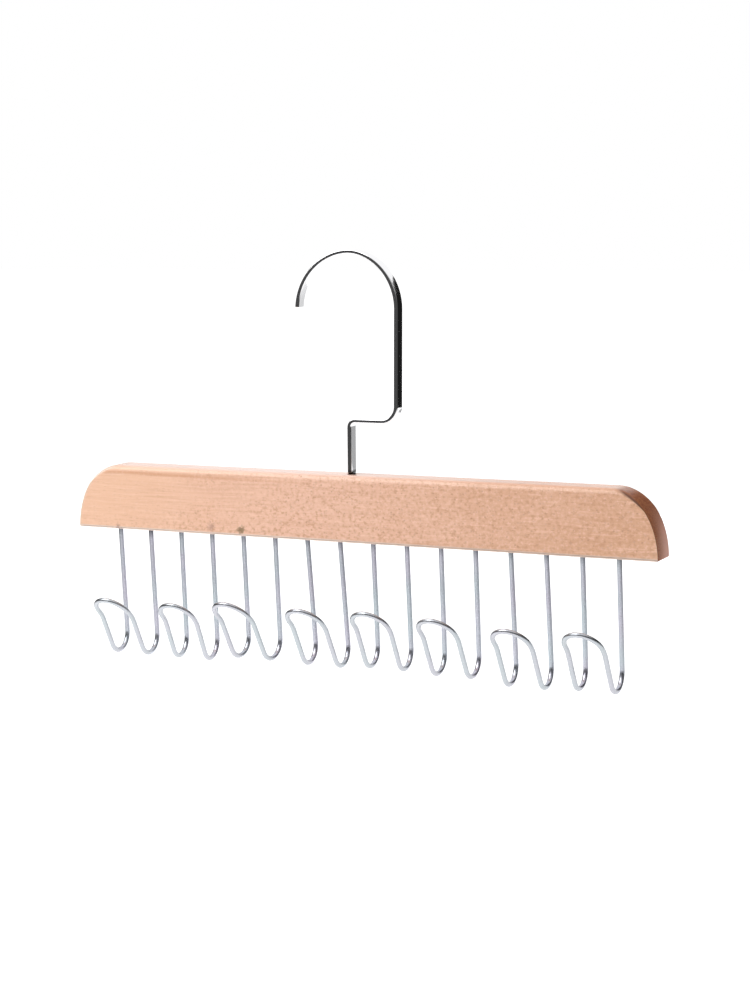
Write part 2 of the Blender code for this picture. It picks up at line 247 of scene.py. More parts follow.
class Paint:
    """One material's nodes, with short calls for the ones that the surfaces here need."""

    def __init__(self, name):
        self.material = bpy.data.materials.new(name)
        self.material.use_nodes = True
        self.tree = self.material.node_tree
        self.shader = self.tree.nodes["Principled BSDF"]

    def put(self, socket, value):
        if isinstance(value, bpy.types.NodeSocket):
            self.tree.links.new(value, socket)
        elif hasattr(value, "__len__") and len(value) == 3 and socket.type == "RGBA":
            socket.default_value = (*value, 1)
        else:
            socket.default_value = value

    def node(self, kind, inputs, **settings):
        made = self.tree.nodes.new(kind)
        for name, value in settings.items():
            setattr(made, name, value)
        for key, value in inputs.items():
            self.put(made.inputs[key], value)
        return made

    def set(self, **inputs):
        """Sets the shader's own sockets, named in lower case with underscores."""
        for name, value in inputs.items():
            self.put(self.shader.inputs[name.replace("_", " ").title().replace("Ior", "IOR")], value)

    def maths(self, operation, first, second=0.0):
        return self.node("ShaderNodeMath", {0: first, 1: second}, operation=operation).outputs[0]

    def add(self, first, second):
        return self.maths("ADD", first, second)

    def minus(self, first, second):
        return self.maths("SUBTRACT", first, second)

    def times(self, first, second):
        return self.maths("MULTIPLY", first, second)

    def divide(self, first, second):
        return self.maths("DIVIDE", first, second)

    def rest(self, share):
        """What a share leaves of the whole."""
        return self.minus(1.0, share)

    def length(self, across, above):
        """Length of a step with these two parts at right angles."""
        return self.maths("SQRT", self.add(self.times(across, across), self.times(above, above)))

    def step(self, value, low, high):
        """0 below low, 1 above high, and a smooth rise between them."""
        inputs = {"Value": value, "From Min": low, "From Max": high}
        made = self.node("ShaderNodeMapRange", inputs, interpolation_type="SMOOTHSTEP")
        return made.outputs["Result"]

    def span(self, value, low, high):
        """A share from 0 to 1 as a value from low to high."""
        inputs = {"Value": value, "To Min": low, "To Max": high}
        return self.node("ShaderNodeMapRange", inputs).outputs["Result"]

    def stretch(self, place, factors):
        made = self.node("ShaderNodeVectorMath", {0: place, 1: factors}, operation="MULTIPLY")
        return made.outputs["Vector"]

    def split(self, place):
        return self.node("ShaderNodeSeparateXYZ", {"Vector": place}).outputs

    def noise(self, place, factors, detail=2.0, roughness=0.5):
        """Soft noise from 0 to 1, at so many waves per millimetre along each axis."""
        inputs = {
            "Vector": self.stretch(place, factors),
            "Scale": 1.0,
            "Detail": detail,
            "Roughness": roughness,
        }
        return self.node("ShaderNodeTexNoise", inputs).outputs["Fac"]

    def cells(self, place, factors):
        """Distance to the nearest of scattered points, and a colour that differs from point to point."""
        inputs = {"Vector": self.stretch(place, factors), "Scale": 1.0, "Randomness": 1.0}
        made = self.node("ShaderNodeTexVoronoi", inputs)
        return made.outputs["Distance"], made.outputs["Color"]

    def spots(self, place, factors, edge):
        """Soft-edged spots round scattered points, and random shares that differ from spot to spot."""
        distance, colour = self.cells(place, factors)
        return self.rest(self.step(distance, *edge)), self.split(colour)

    def mix(self, share, first, second):
        """Mixes two colours by a share from 0 to 1."""
        made = self.node("ShaderNodeMix", {0: share, 6: first, 7: second}, data_type="RGBA")
        return made.outputs[2]

    def bump(self, height, distance):
        """Raises the surface by height times a distance in metres."""
        inputs = {"Height": height, "Distance": distance, "Strength": 1.0}
        return self.node("ShaderNodeBump", inputs).outputs["Normal"]

    def object_place(self):
        """The point's place in the frame of the part, in millimetres."""
        coordinates = self.node("ShaderNodeTexCoord", {}).outputs["Object"]
        return self.stretch(coordinates, (1 / MM, 1 / MM, 1 / MM))

    def drawn_place(self):
        """The point's place in the straight wire before it was bent, in millimetres, its length along Z."""
        made = self.node("ShaderNodeAttribute", {}, attribute_name="drawn_place")
        return self.stretch(made.outputs["Vector"], (1 / MM, 1 / MM, 1 / MM))


# The value that a noise wavers about
NOISE_MIDDLE = 0.5

# Beech colours
BEECH_LEFT = (0.84, 0.51, 0.34)
BEECH_MIDDLE = (0.81, 0.485, 0.345)
BEECH_RIGHT = (0.70, 0.39, 0.24)
BEECH_STREAK = (0.60, 0.31, 0.18)
BEECH_PALE_STREAK = (0.92, 0.60, 0.44)
BEECH_FLECK = (0.42, 0.19, 0.10)
BEECH_PALE_FLECK = (0.95, 0.64, 0.51)
# Paler lower edges, painted light against their shade, and the left end's paler edge
BEECH_LOWER_EDGE = (0.86, 0.68, 0.58)
BEECH_LOWER_EDGE_RIGHT = (0.74, 0.55, 0.45)
BEECH_RIM = (0.77, 0.57, 0.44)
BEECH_LINE = (0.66, 0.32, 0.18)
# Painted light on the rounded top, to the left and to the right
BEECH_TOP_PAINTED_LIGHT = (0.98, 0.66, 0.54)
BEECH_RIGHT_TOP_PAINTED_LIGHT = (0.85, 0.46, 0.30)
# The right end: end grain darkened with painted shade, painted light low towards its back, and painted shade
# along its front edge
BEECH_RIGHT_END_GRAIN_AND_SHADE = (0.50, 0.165, 0.05)
BEECH_RIGHT_END_RING_AND_SHADE = (0.38, 0.10, 0.03)
BEECH_RIGHT_END_PAINTED_LIGHT = (0.95, 0.50, 0.38)
BEECH_RIGHT_END_PAINTED_SHADE = (0.16, 0.05, 0.018)
BEECH_LEFT_GRAIN = (0.68, 0.40, 0.26)
BEECH_LEFT_RING = (0.56, 0.30, 0.19)
BEECH_KNOT = (0.20, 0.13, 0.05)
BEECH_PATCH_AND_SHADOW = (0.40, 0.20, 0.15)

# Noises and scattered points in the beech: waves per millimetre along the bar, through it and up it
TONE_WAVES = (0.02, 0.05, 0.06)
SWAY_WAVES = (0.012, 0.05, 0.05)
BROAD_GRAIN_WAVES = (0.018, 0.3, 0.45)
FINE_GRAIN_WAVES = (0.05, 0.8, 1.3)
LINE_WAVES = (0.15, 0.2, 0.3)
DASH_WAVES = (0.35, 1.2, 1.25)
AREA_WAVES = (0.04, 0.08, 0.08)
MOTTLE_WAVES = (0.55, 0.8, 0.65)
SPECKLE_WAVES = (0.8, 0.8, 0.9)
RING_WAVES = (0.1, 0.5, 1.8)
PORE_WAVES = (3.0, 3.0, 3.0)
RAGGED_WAVES = (0.5, 0.5, 0.7)
FIBRE_WAVES = (2.5, 2.5, 5.0)
SHEEN_WAVES = (0.15, 0.6, 0.9)

# Where each layer of the beech begins and is full: in a noise, in a share of the bar's length or of its end
# curve, or in how squarely the surface faces one way. A range may fall as well as rise.
MIDDLE_TONE_RANGE = (0.0, 0.45)
RIGHT_TONE_RANGE = (0.4, 1.0)
BROAD_STREAK_RANGE = (0.5, 0.75)
FINE_STREAK_RANGE = (0.5, 0.72)
PALE_STREAK_RANGE = (0.47, 0.28)
LINE_FADE_RANGE = (0.15, 0.5)
DASH_EDGE_RANGE = (0.1, 0.4)
DASH_PICK_RANGE = (0.45, 0.9)
AREA_RANGE = (0.4, 0.8)
DARK_MOTTLE_RANGE = (0.5, 0.7)
PALE_MOTTLE_RANGE = (0.5, 0.28)
SPECKLE_EDGE_RANGE = (0.12, 0.5)
DARK_SPECKLE_RANGE = (0.6, 0.95)
PALE_SPECKLE_RANGE = (0.55, 0.95)
TOP_FACING_RANGE = (0.65, 1.0)
TOP_RIGHT_RANGE = (0.35, 0.85)
RIM_REACH_RANGE = (0.94, 0.985)
RIM_OUTWARD_RANGE = (0.0, 0.1)
RIGHT_END_FACING_RANGE = (0.1, 0.3)
LEFT_END_FACING_RANGE = (0.35, 0.8)
LEFT_TO_RIGHT_RANGE = (-0.3, 0.3)
RING_RANGE = (0.3, 0.7)
PORE_EDGE_RANGE = (0.15, 0.4)
FRONT_FACING_RANGE = (-0.15, -0.7)
PALE_LEFT_EDGE_FACING_RANGE = (0.05, 0.4)
PALE_EDGE_RIGHT_RANGE = (0.25, 0.8)
DULL_END_FACING_RANGE = (0.3, 0.7)

# The same in millimetres: from the bar's ends, above its base, or in from its front and back
TOP_FROM_END_RANGE_MM = (12.0, 26.0)
AREA_HEIGHT_RANGE_MM = (22.0, 2.0)
END_FOOT_HEIGHT_RANGE_MM = (24.0, 8.0)
LOWER_EDGE_HEIGHT_RANGE_MM = (1.5, 0.6)
LOWER_EDGE_DEPTH_RANGE_MM = (0.8, 0.3)

# How strongly each layer shows, as a share
TONE_DRIFT_SHARE = 0.3
STREAK_SHARE = 0.3
PALE_STREAK_SHARE = 0.5
LINE_SHARES_LEFT_RIGHT = (0.8, 0.02)
LINE_UNEVEN_SHARES = (0.6, 1.2)
AREA_LOWER_SHARE = 0.22
AREA_UNEVEN_SHARE = 0.5
RIM_SHARE = 0.8
PORE_SHARE = 0.5

# The same for the flecks, outside and inside the mottled area
DASH_SHARES = (0.2, 0.32)
DARK_MOTTLE_SHARES = (0.0, 0.75)
PALE_MOTTLE_SHARES = (0.15, 0.3)
DARK_SPECKLE_SHARES = (0.08, 0.6)
PALE_SPECKLE_SHARES = (0.12, 0.35)

# Marks of this bar, in millimetres from its lower left corner: place, radius, colour and strength. The knot
# and the patch are marks in the wood; the spot is a painted shadow by a wire's entry.
KNOT = ((85.2, 2.9), 2.5, BEECH_KNOT, 0.8)
PATCH = ((70.1, 3.8), 2.5, BEECH_PATCH_AND_SHADOW, 0.55)
WIRE_ENTRY_SHADOW_SPOT = ((20.9, 0.9), 1.6, BEECH_PATCH_AND_SHADOW, 0.6)
MARK_CORE_SHARE = 0.25
MARK_RAGGED_MM = 6.0
DARK_LINE_LEFT_MM = 26.9
DARK_LINE_DROP_MM = 4.2
DARK_LINE_REACH_MM = 1.1
DARK_LINE_SWAY_MM = 1.6
GRAIN_SWAY_MM = 5.0

# Relief and sheen of the beech
FINE_RELIEF = 0.5
DASH_RELIEF = -0.6
FIBRE_RELIEF = 0.25
PORE_RELIEF = -1.0
BEECH_RELIEF = 0.03 * MM
BEECH_ROUGHNESS = (0.42, 0.56)
END_ROUGHNESS_GAIN = 0.25
BEECH_SPECULAR = 0.4
VARNISH_WEIGHTS = (0.75, 0.15)
VARNISH_ROUGHNESS = 0.22


class BarPlace:
    """Sockets that the beech's layers share: a point's place in millimetres, its facing and its grain."""

    def __init__(self, paint):
        self.point = paint.object_place()
        x, self.y, z = paint.split(self.point)
        self.along = paint.minus(x, BAR_LEFT / MM)
        self.share = paint.divide(self.along, BAR_LENGTH / MM)
        self.height = paint.minus(z, BAR_BASE / MM)
        normal = paint.node("ShaderNodeTexCoord", {}).outputs["Normal"]
        self.facing_x, self.facing_y, self.facing_z = paint.split(normal)
        self.facing_left = paint.times(self.facing_x, -1.0)
        facing_right_end = paint.step(self.facing_x, *RIGHT_END_FACING_RANGE)
        facing_left_end = paint.step(self.facing_left, *LEFT_END_FACING_RANGE)
        self.end_grain = paint.maths("MAXIMUM", facing_right_end, facing_left_end)
        self.sway = paint.noise(self.point, SWAY_WAVES, detail=1.0)
        swayed = paint.add(self.height, paint.times(self.sway, GRAIN_SWAY_MM))
        grain = paint.node("ShaderNodeCombineXYZ", {"X": x, "Y": self.y, "Z": swayed}).outputs["Vector"]
        self.broad = paint.noise(grain, BROAD_GRAIN_WAVES, detail=3.0, roughness=0.6)
        self.fine = paint.noise(grain, FINE_GRAIN_WAVES, detail=3.0, roughness=0.65)
        dash_spots, dash_picks = paint.spots(grain, DASH_WAVES, DASH_EDGE_RANGE)
        self.dash = paint.times(dash_spots, paint.step(dash_picks[0], *DASH_PICK_RANGE))
        self.pore, _ = paint.spots(self.point, PORE_WAVES, PORE_EDGE_RANGE)


def grain_colour(paint, at):
    """The tone along the bar, with long dark and pale streaks that wander a little in height as they run."""
    drift = paint.noise(at.point, TONE_WAVES, detail=1.0)
    wander = paint.add(at.share, paint.times(paint.minus(drift, NOISE_MIDDLE), TONE_DRIFT_SHARE))
    colour = paint.mix(paint.step(wander, *MIDDLE_TONE_RANGE), BEECH_LEFT, BEECH_MIDDLE)
    colour = paint.mix(paint.step(wander, *RIGHT_TONE_RANGE), colour, BEECH_RIGHT)
    streaks = paint.add(paint.step(at.broad, *BROAD_STREAK_RANGE), paint.step(at.fine, *FINE_STREAK_RANGE))
    colour = paint.mix(paint.times(streaks, STREAK_SHARE), colour, BEECH_STREAK)
    pale_streaks = paint.times(paint.step(at.fine, *PALE_STREAK_RANGE), PALE_STREAK_SHARE)
    return paint.mix(pale_streaks, colour, BEECH_PALE_STREAK)


def add_dark_line(paint, at, colour):
    """One dark line under the top edge, sinking and fading to the right."""
    line_height = paint.minus(DARK_LINE_LEFT_MM, paint.times(at.share, DARK_LINE_DROP_MM))
    wander = paint.add(at.height, paint.times(paint.minus(at.sway, NOISE_MIDDLE), DARK_LINE_SWAY_MM))
    off_line = paint.maths("ABSOLUTE", paint.minus(wander, line_height))
    line = paint.rest(paint.step(off_line, 0.0, DARK_LINE_REACH_MM))
    fade = paint.span(paint.step(at.share, *LINE_FADE_RANGE), *LINE_SHARES_LEFT_RIGHT)
    uneven = paint.span(paint.noise(at.point, LINE_WAVES), *LINE_UNEVEN_SHARES)
    return paint.mix(paint.times(paint.times(line, fade), uneven), colour, BEECH_LINE)


def add_flecks(paint, at, colour):
    """Ray flecks: short dashes, and a mottle that grows towards the lower middle and the right."""
    lower = paint.times(paint.step(at.height, *AREA_HEIGHT_RANGE_MM), AREA_LOWER_SHARE)
    uneven = paint.times(paint.noise(at.point, AREA_WAVES, detail=1.0), AREA_UNEVEN_SHARE)
    area = paint.step(paint.add(paint.add(at.share, lower), uneven), *AREA_RANGE)
    mottle = paint.noise(at.point, MOTTLE_WAVES, roughness=0.65)
    speckle, picks = paint.spots(at.point, SPECKLE_WAVES, SPECKLE_EDGE_RANGE)
    dark_speckle = paint.times(speckle, paint.step(picks[0], *DARK_SPECKLE_RANGE))
    pale_speckle = paint.times(speckle, paint.step(picks[1], *PALE_SPECKLE_RANGE))
    layers = (
        (at.dash, DASH_SHARES, BEECH_FLECK),
        (paint.step(mottle, *DARK_MOTTLE_RANGE), DARK_MOTTLE_SHARES, BEECH_STREAK),
        (paint.step(mottle, *PALE_MOTTLE_RANGE), PALE_MOTTLE_SHARES, BEECH_PALE_FLECK),
        (dark_speckle, DARK_SPECKLE_SHARES, BEECH_FLECK),
        (pale_speckle, PALE_SPECKLE_SHARES, BEECH_PALE_FLECK),
    )
    for flecks, shares, fleck_colour in layers:
        colour = paint.mix(paint.times(flecks, paint.span(area, *shares)), colour, fleck_colour)
    return colour


def add_painted_top_light(paint, at, colour):
    """Painted light on the rounded top: a paler colour where it faces up, away from the ends, less pale to
    the right.
    """
    from_end = paint.maths("MINIMUM", at.along, paint.minus(BAR_LENGTH / MM, at.along))
    straight = paint.step(from_end, *TOP_FROM_END_RANGE_MM)
    top = paint.times(paint.step(at.facing_z, *TOP_FACING_RANGE), straight)
    top_light_colour = paint.mix(paint.step(at.share, *TOP_RIGHT_RANGE), BEECH_TOP_PAINTED_LIGHT, BEECH_RIGHT_TOP_PAINTED_LIGHT)
    return paint.mix(top, colour, top_light_colour)


def add_left_rim(paint, at, colour):
    """A paler rim round the left end's curve."""
    sweep = END_SWEEP / MM
    outward = paint.rest(paint.divide(paint.maths("MINIMUM", at.along, sweep), sweep))
    level = paint.divide(at.height, BAR_HEIGHT / MM)
    reach = paint.step(paint.length(outward, level), *RIM_REACH_RANGE)
    rim = paint.times(reach, paint.step(outward, *RIM_OUTWARD_RANGE))
    return paint.mix(paint.times(rim, RIM_SHARE), colour, BEECH_RIM)


def add_end_grain(paint, at, colour):
    """End grain on the curved ends and in the holes, with rings and open pores.

    The right end is darker than the left, its end grain darkened further with painted shade, deepest along
    its front edge, and paled with painted light towards its back low down.
    """
    right_end = paint.step(at.facing_x, *LEFT_TO_RIGHT_RANGE)
    grain = paint.mix(right_end, BEECH_LEFT_GRAIN, BEECH_RIGHT_END_GRAIN_AND_SHADE)
    ring = paint.mix(right_end, BEECH_LEFT_RING, BEECH_RIGHT_END_RING_AND_SHADE)
    end_colour = paint.mix(paint.step(paint.noise(at.point, RING_WAVES), *RING_RANGE), grain, ring)
    end_colour = paint.mix(paint.times(at.pore, PORE_SHARE), end_colour, ring)
    # Painted light paling the right end towards its back low down, and painted shade along its front edge
    rear = paint.step(at.y, BAR_FRONT / MM, BAR_BACK / MM)
    foot = paint.step(at.height, *END_FOOT_HEIGHT_RANGE_MM)
    end_colour = paint.mix(paint.times(paint.times(rear, foot), right_end), end_colour, BEECH_RIGHT_END_PAINTED_LIGHT)
    painted_front_shade = paint.times(paint.step(at.facing_y, *FRONT_FACING_RANGE), right_end)
    end_colour = paint.mix(painted_front_shade, end_colour, BEECH_RIGHT_END_PAINTED_SHADE)
    return paint.mix(at.end_grain, colour, end_colour)


def add_pale_edges(paint, at, colour):
    """The lower edges paler, painted light that lifts the shade on their downward rounding, and the left
    end's edge paler too.
    """
    start, end = (BAR_THICKNESS / 2 / MM - depth for depth in LOWER_EDGE_DEPTH_RANGE_MM)
    near_face = paint.step(paint.maths("ABSOLUTE", at.y), start, end)
    near_base = paint.step(at.height, *LOWER_EDGE_HEIGHT_RANGE_MM)
    left_edge = paint.step(at.facing_left, *PALE_LEFT_EDGE_FACING_RANGE)
    pale_edges = paint.maths("MAXIMUM", paint.times(near_face, near_base), left_edge)
    pale_edge_colour = paint.mix(paint.step(at.share, *PALE_EDGE_RIGHT_RANGE), BEECH_LOWER_EDGE, BEECH_LOWER_EDGE_RIGHT)
    return paint.mix(paint.times(pale_edges, paint.rest(at.end_grain)), colour, pale_edge_colour)


def add_marks(paint, at, colour):
    """A pin knot and a brown patch, and a small spot of painted shadow near the lower edge, all with ragged
    outlines.
    """
    ragged = paint.minus(paint.noise(at.point, RAGGED_WAVES, detail=3.0, roughness=0.7), NOISE_MIDDLE)
    ragged = paint.times(ragged, MARK_RAGGED_MM)
    for (mark_along, mark_height), radius, mark_colour, share in (KNOT, PATCH, WIRE_ENTRY_SHADOW_SPOT):
        spread = paint.length(paint.minus(at.along, mark_along), paint.minus(at.height, mark_height))
        mark = paint.rest(paint.step(paint.add(spread, ragged), radius * MARK_CORE_SHARE, radius))
        colour = paint.mix(paint.times(mark, share), colour, mark_colour)
    return colour


def make_beech():
    paint = Paint("beech")
    at = BarPlace(paint)
    colour = grain_colour(paint, at)
    for add_layer in (
        add_dark_line,
        add_flecks,
        add_painted_top_light,
        add_left_rim,
        add_end_grain,
        add_pale_edges,
        add_marks,
    ):
        colour = add_layer(paint, at, colour)
    relief = paint.add(paint.times(at.fine, FINE_RELIEF), paint.times(at.dash, DASH_RELIEF))
    relief = paint.add(relief, paint.times(paint.noise(at.point, FIBRE_WAVES), FIBRE_RELIEF))
    relief = paint.add(relief, paint.times(paint.times(at.pore, at.end_grain), PORE_RELIEF))
    sheen = paint.span(paint.noise(at.point, SHEEN_WAVES, detail=3.0), *BEECH_ROUGHNESS)
    paint.set(
        base_color=colour,
        roughness=paint.add(sheen, paint.times(at.end_grain, END_ROUGHNESS_GAIN)),
        normal=paint.bump(relief, BEECH_RELIEF),
        specular_ior_level=BEECH_SPECULAR,
        coat_weight=paint.span(paint.step(at.facing_x, *DULL_END_FACING_RANGE), *VARNISH_WEIGHTS),
        coat_roughness=VARNISH_ROUGHNESS,
    )
    return paint.material


# Polished strip: waves per millimetre across its thickness, across its width and along it
STRIP_LINE_WAVES = (2.5, 2.5, 0.05)
STRIP_CLOUD_WAVES = (0.5, 0.5, 0.1)
STRIP_SCRATCH_WAVES = (9.0, 7.0, 0.25)
STRIP_TONES = (0.92, 0.92, 0.94), (0.96, 0.96, 0.97)
# Painted shadow at the strip's foot where it leaves the bar's top: its colour, the heights over the top where
# it begins and is full, and its strength
STRIP_FOOT_PAINTED_SHADOW = (0.03, 0.03, 0.03)
STRIP_FOOT_HEIGHT_RANGE_MM = (2.4, 1.1)
STRIP_FOOT_SHARE = 0.9
STRIP_ROUGHNESS = (0.05, 0.09)
STRIP_SCRATCH_RANGE = (0.6, 0.75)
STRIP_SCRATCH_ROUGHNESS = 0.012
STRIP_RELIEF = 0.0006 * MM

# Plated wire: waves per millimetre across it and along it
WIRE_LINE_WAVES = (3.0, 3.0, 0.1)
WIRE_HUE_WAVES = (0.02, 0.02, 0.035)
WIRE_CLOUD_WAVES = (0.6, 0.6, 0.2)
WIRE_GRAIN_WAVES = (3.5, 3.5, 2.0)
WIRE_TONES = (0.585, 0.57, 0.665), (0.53, 0.60, 0.645)
WIRE_HUE_RANGE = (0.38, 0.62)
WIRE_CLOUD_TONE = (0.63, 0.63, 0.67)
WIRE_CLOUD_SHARE = 0.3
# Painted shade on the loops in front: its colour, where it begins and is full in y, and its strength
WIRE_LOOP_PAINTED_SHADE = (0.46, 0.48, 0.49)
WIRE_LOOP_Y_RANGE_MM = (-2.0, -7.0)
WIRE_LOOP_SHARE = 0.5
# Painted shade at the wires' roots under the bar: its colour, its length down the wire, and its strength on
# the other roots and on the darkest one
WIRE_ROOT_PAINTED_SHADE = (0.10, 0.10, 0.11)
WIRE_ROOT_LENGTH_MM = 6.0
WIRE_ROOT_SHARES = (0.55, 0.95)
WIRE_ROUGHNESS = (0.2, 0.3)
WIRE_GRAIN_RANGE = (0.3, 0.6)
WIRE_GRAIN_ROUGHNESS = 0.04
WIRE_LINE_RELIEF = 0.6
WIRE_GRAIN_RELIEF = 0.3
WIRE_RELIEF = 0.003 * MM

# Painted shade where the wires enter the bar. The wire end where it is darkest: its distance from the bar's
# left end, and its reach
DARK_ROOT_MM = 33.7
DARK_ROOT_RANGE_MM = (6.0, 3.0)

# Turned steel: waves per millimetre of its grooves, out from the swivel's axis, round it and along it, and
# of its stains, along the three axes of the frame
STEEL_GROOVE_WAVES = (9.0, 1.0, 9.0)
STEEL_STAIN_WAVES = (0.5, 0.5, 0.5)
STEEL_TONES = (0.42, 0.42, 0.43), (0.60, 0.60, 0.61)
STEEL_ROUGHNESS = (0.3, 0.45)
STEEL_RELIEF = 0.008 * MM


def make_polished_strip():
    paint = Paint("polished_strip")
    place = paint.drawn_place()
    lines = paint.noise(place, STRIP_LINE_WAVES)
    clouds = paint.noise(place, STRIP_CLOUD_WAVES)
    scratches = paint.step(paint.noise(place, STRIP_SCRATCH_WAVES), *STRIP_SCRATCH_RANGE)
    # Painted shadow at the foot of the strip, just over the bar's top
    start, end = (BAR_TOP / MM + height for height in STRIP_FOOT_HEIGHT_RANGE_MM)
    foot = paint.step(paint.split(paint.object_place())[2], start, end)
    colour = paint.mix(clouds, *STRIP_TONES)
    coarse = paint.times(scratches, STRIP_SCRATCH_ROUGHNESS)
    paint.set(
        base_color=paint.mix(paint.times(foot, STRIP_FOOT_SHARE), colour, STRIP_FOOT_PAINTED_SHADOW),
        metallic=1.0,
        roughness=paint.add(paint.span(clouds, *STRIP_ROUGHNESS), coarse),
        normal=paint.bump(lines, STRIP_RELIEF),
    )
    return paint.material


def make_plated_wire():
    paint = Paint("plated_wire")
    place = paint.drawn_place()
    lines = paint.noise(place, WIRE_LINE_WAVES, roughness=0.6)
    hue = paint.noise(place, WIRE_HUE_WAVES, detail=1.0)
    clouds = paint.noise(place, WIRE_CLOUD_WAVES)
    grains, _ = paint.cells(place, WIRE_GRAIN_WAVES)
    colour = paint.mix(paint.step(hue, *WIRE_HUE_RANGE), *WIRE_TONES)
    colour = paint.mix(paint.times(clouds, WIRE_CLOUD_SHARE), colour, WIRE_CLOUD_TONE)
    x, y, z = paint.split(paint.object_place())
    # Painted shade darkening the loops in front
    loop = paint.times(paint.step(y, *WIRE_LOOP_Y_RANGE_MM), WIRE_LOOP_SHARE)
    colour = paint.mix(loop, colour, WIRE_LOOP_PAINTED_SHADE)
    # Painted shade where the wires enter the bar, darkest on one of them
    off_dark = paint.maths("ABSOLUTE", paint.minus(x, BAR_LEFT / MM + DARK_ROOT_MM))
    root_shade = paint.step(z, BAR_BASE / MM - WIRE_ROOT_LENGTH_MM, BAR_BASE / MM)
    root_shade_share = paint.span(paint.step(off_dark, *DARK_ROOT_RANGE_MM), *WIRE_ROOT_SHARES)
    coarse = paint.times(paint.step(grains, *WIRE_GRAIN_RANGE), WIRE_GRAIN_ROUGHNESS)
    relief = paint.add(paint.times(lines, WIRE_LINE_RELIEF), paint.times(grains, WIRE_GRAIN_RELIEF))
    paint.set(
        base_color=paint.mix(paint.times(root_shade, root_shade_share), colour, WIRE_ROOT_PAINTED_SHADE),
        metallic=1.0,
        roughness=paint.add(paint.span(clouds, *WIRE_ROUGHNESS), coarse),
        normal=paint.bump(relief, WIRE_RELIEF),
    )
    return paint.material


def make_turned_steel():
    paint = Paint("turned_steel")
    place = paint.object_place()
    x, y, z = paint.split(place)
    radius = paint.length(paint.minus(x, SWIVEL_X / MM), y)
    turned = paint.node("ShaderNodeCombineXYZ", {"X": radius, "Y": 0.0, "Z": z}).outputs["Vector"]
    stains = paint.noise(place, STEEL_STAIN_WAVES)
    paint.set(
        base_color=paint.mix(stains, *STEEL_TONES),
        metallic=1.0,
        roughness=paint.span(stains, *STEEL_ROUGHNESS),
        normal=paint.bump(paint.noise(turned, STEEL_GROOVE_WAVES), STEEL_RELIEF),
    )
    return paint.material


def walk(start, heading, steps):
    """Follows straight runs and turns in a plane, from a start point and heading.

    A step is ("run", length, pieces) or ("turn", radius, signed angle, pieces). Returns every point met, with
    the heading there.
    """
    x, y = start
    trail = [(x, y, heading)]
    for kind, size, *rest in steps:
        pieces = rest[-1]
        part = rest[0] / pieces if kind == "turn" else 0
        reach = 2 * size * math.sin(abs(part) / 2) if kind == "turn" else size / pieces
        for _ in range(pieces):
            x += reach * math.cos(heading + part / 2)
            y += reach * math.sin(heading + part / 2)
            heading += part
            trail.append((x, y, heading))
    return trail


def loft(name, rings, looped=False):
    """A mesh through rings of equal point counts, capped at both ends or closed on itself."""
    mesh_edit = bmesh.new()
    rows = [[mesh_edit.verts.new(point) for point in ring] for ring in rings]
    pairs = list(zip(rows, rows[1:]))
    if looped:
        pairs.append((rows[-1], rows[0]))
    else:
        mesh_edit.faces.new(rows[0])
        mesh_edit.faces.new(rows[-1])
    for low, high in pairs:
        for i in range(len(low)):
            j = (i + 1) % len(low)
            mesh_edit.faces.new((low[i], low[j], high[j], high[i]))
    bmesh.ops.recalc_face_normals(mesh_edit, faces=mesh_edit.faces)
    mesh = bpy.data.meshes.new(name)
    mesh_edit.to_mesh(mesh)
    mesh_edit.free()
    return mesh


def smooth(mesh):
    mesh.shade_smooth()
    mesh.set_sharp_from_angle(angle=SHARP_ANGLE)
    return mesh


def add_object(name, mesh, material=None):
    item = bpy.data.objects.new(name, mesh)
    bpy.context.scene.collection.objects.link(item)
    if material:
        mesh.materials.append(material)
    return item


def add_piece(name, mesh, material, body, node):
    """A piece of the hanger that stands for one CAD node and rides on its body."""
    piece = add_object(name, smooth(mesh), material)
    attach(piece, body)
    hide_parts(node)


def note_drawn_places(mesh, rings):
    """Keeps, for each vertex of a loft, its place in the straight stock: across, across and along."""
    places = [place for ring in rings for place in ring]
    attribute = mesh.attributes.new("drawn_place", "FLOAT_VECTOR", "POINT")
    attribute.data.foreach_set("vector", [value for place in places for value in place])


def edge_round_at(height):
    """Radius of the bar's edges at a height: softened low down, growing to the full round along the top."""
    share = min(1, max(0, (height - BAR_HEIGHT + EDGE_BLEND) / EDGE_BLEND))
    return EDGE_ROUND + (TOP_ROUND - EDGE_ROUND) * share


def bar_outline():
    """The bar seen from the front, anticlockwise from its lower left corner, as (x, height)."""
    first = math.asin(CORNER_ROUND / BAR_HEIGHT)
    sweep = math.pi / 2 - first
    angles = [first + sweep * i / END_ARC_STEPS for i in range(END_ARC_STEPS + 1)]
    end = [(END_SWEEP * (1 - math.cos(a)), BAR_HEIGHT * math.sin(a)) for a in angles]
    corner = []
    for i in range(CORNER_ARC_STEPS):
        a = math.pi / 2 * i / CORNER_ARC_STEPS
        corner.append((CORNER_ROUND * (1 - math.sin(a)), CORNER_ROUND * (1 - math.cos(a))))
    half = corner + end
    right = [(BAR_RIGHT - inward, height) for inward, height in half]
    left = [(BAR_LEFT + inward, height) for inward, height in half]
    return right + left[::-1]


def inward_steps(outline):
    """For each point of an anticlockwise outline, the shift that moves both its sides in by one unit."""
    steps = []
    for i, (x, z) in enumerate(outline):
        before = outline[i - 1]
        after = outline[(i + 1) % len(outline)]
        a = math.atan2(z - before[1], x - before[0])
        b = math.atan2(after[1] - z, after[0] - x)
        half = ((b - a + math.pi) % math.tau - math.pi) / 2
        middle = a + half + math.pi / 2
        steps.append((math.cos(middle) / math.cos(half), math.sin(middle) / math.cos(half)))
    return steps


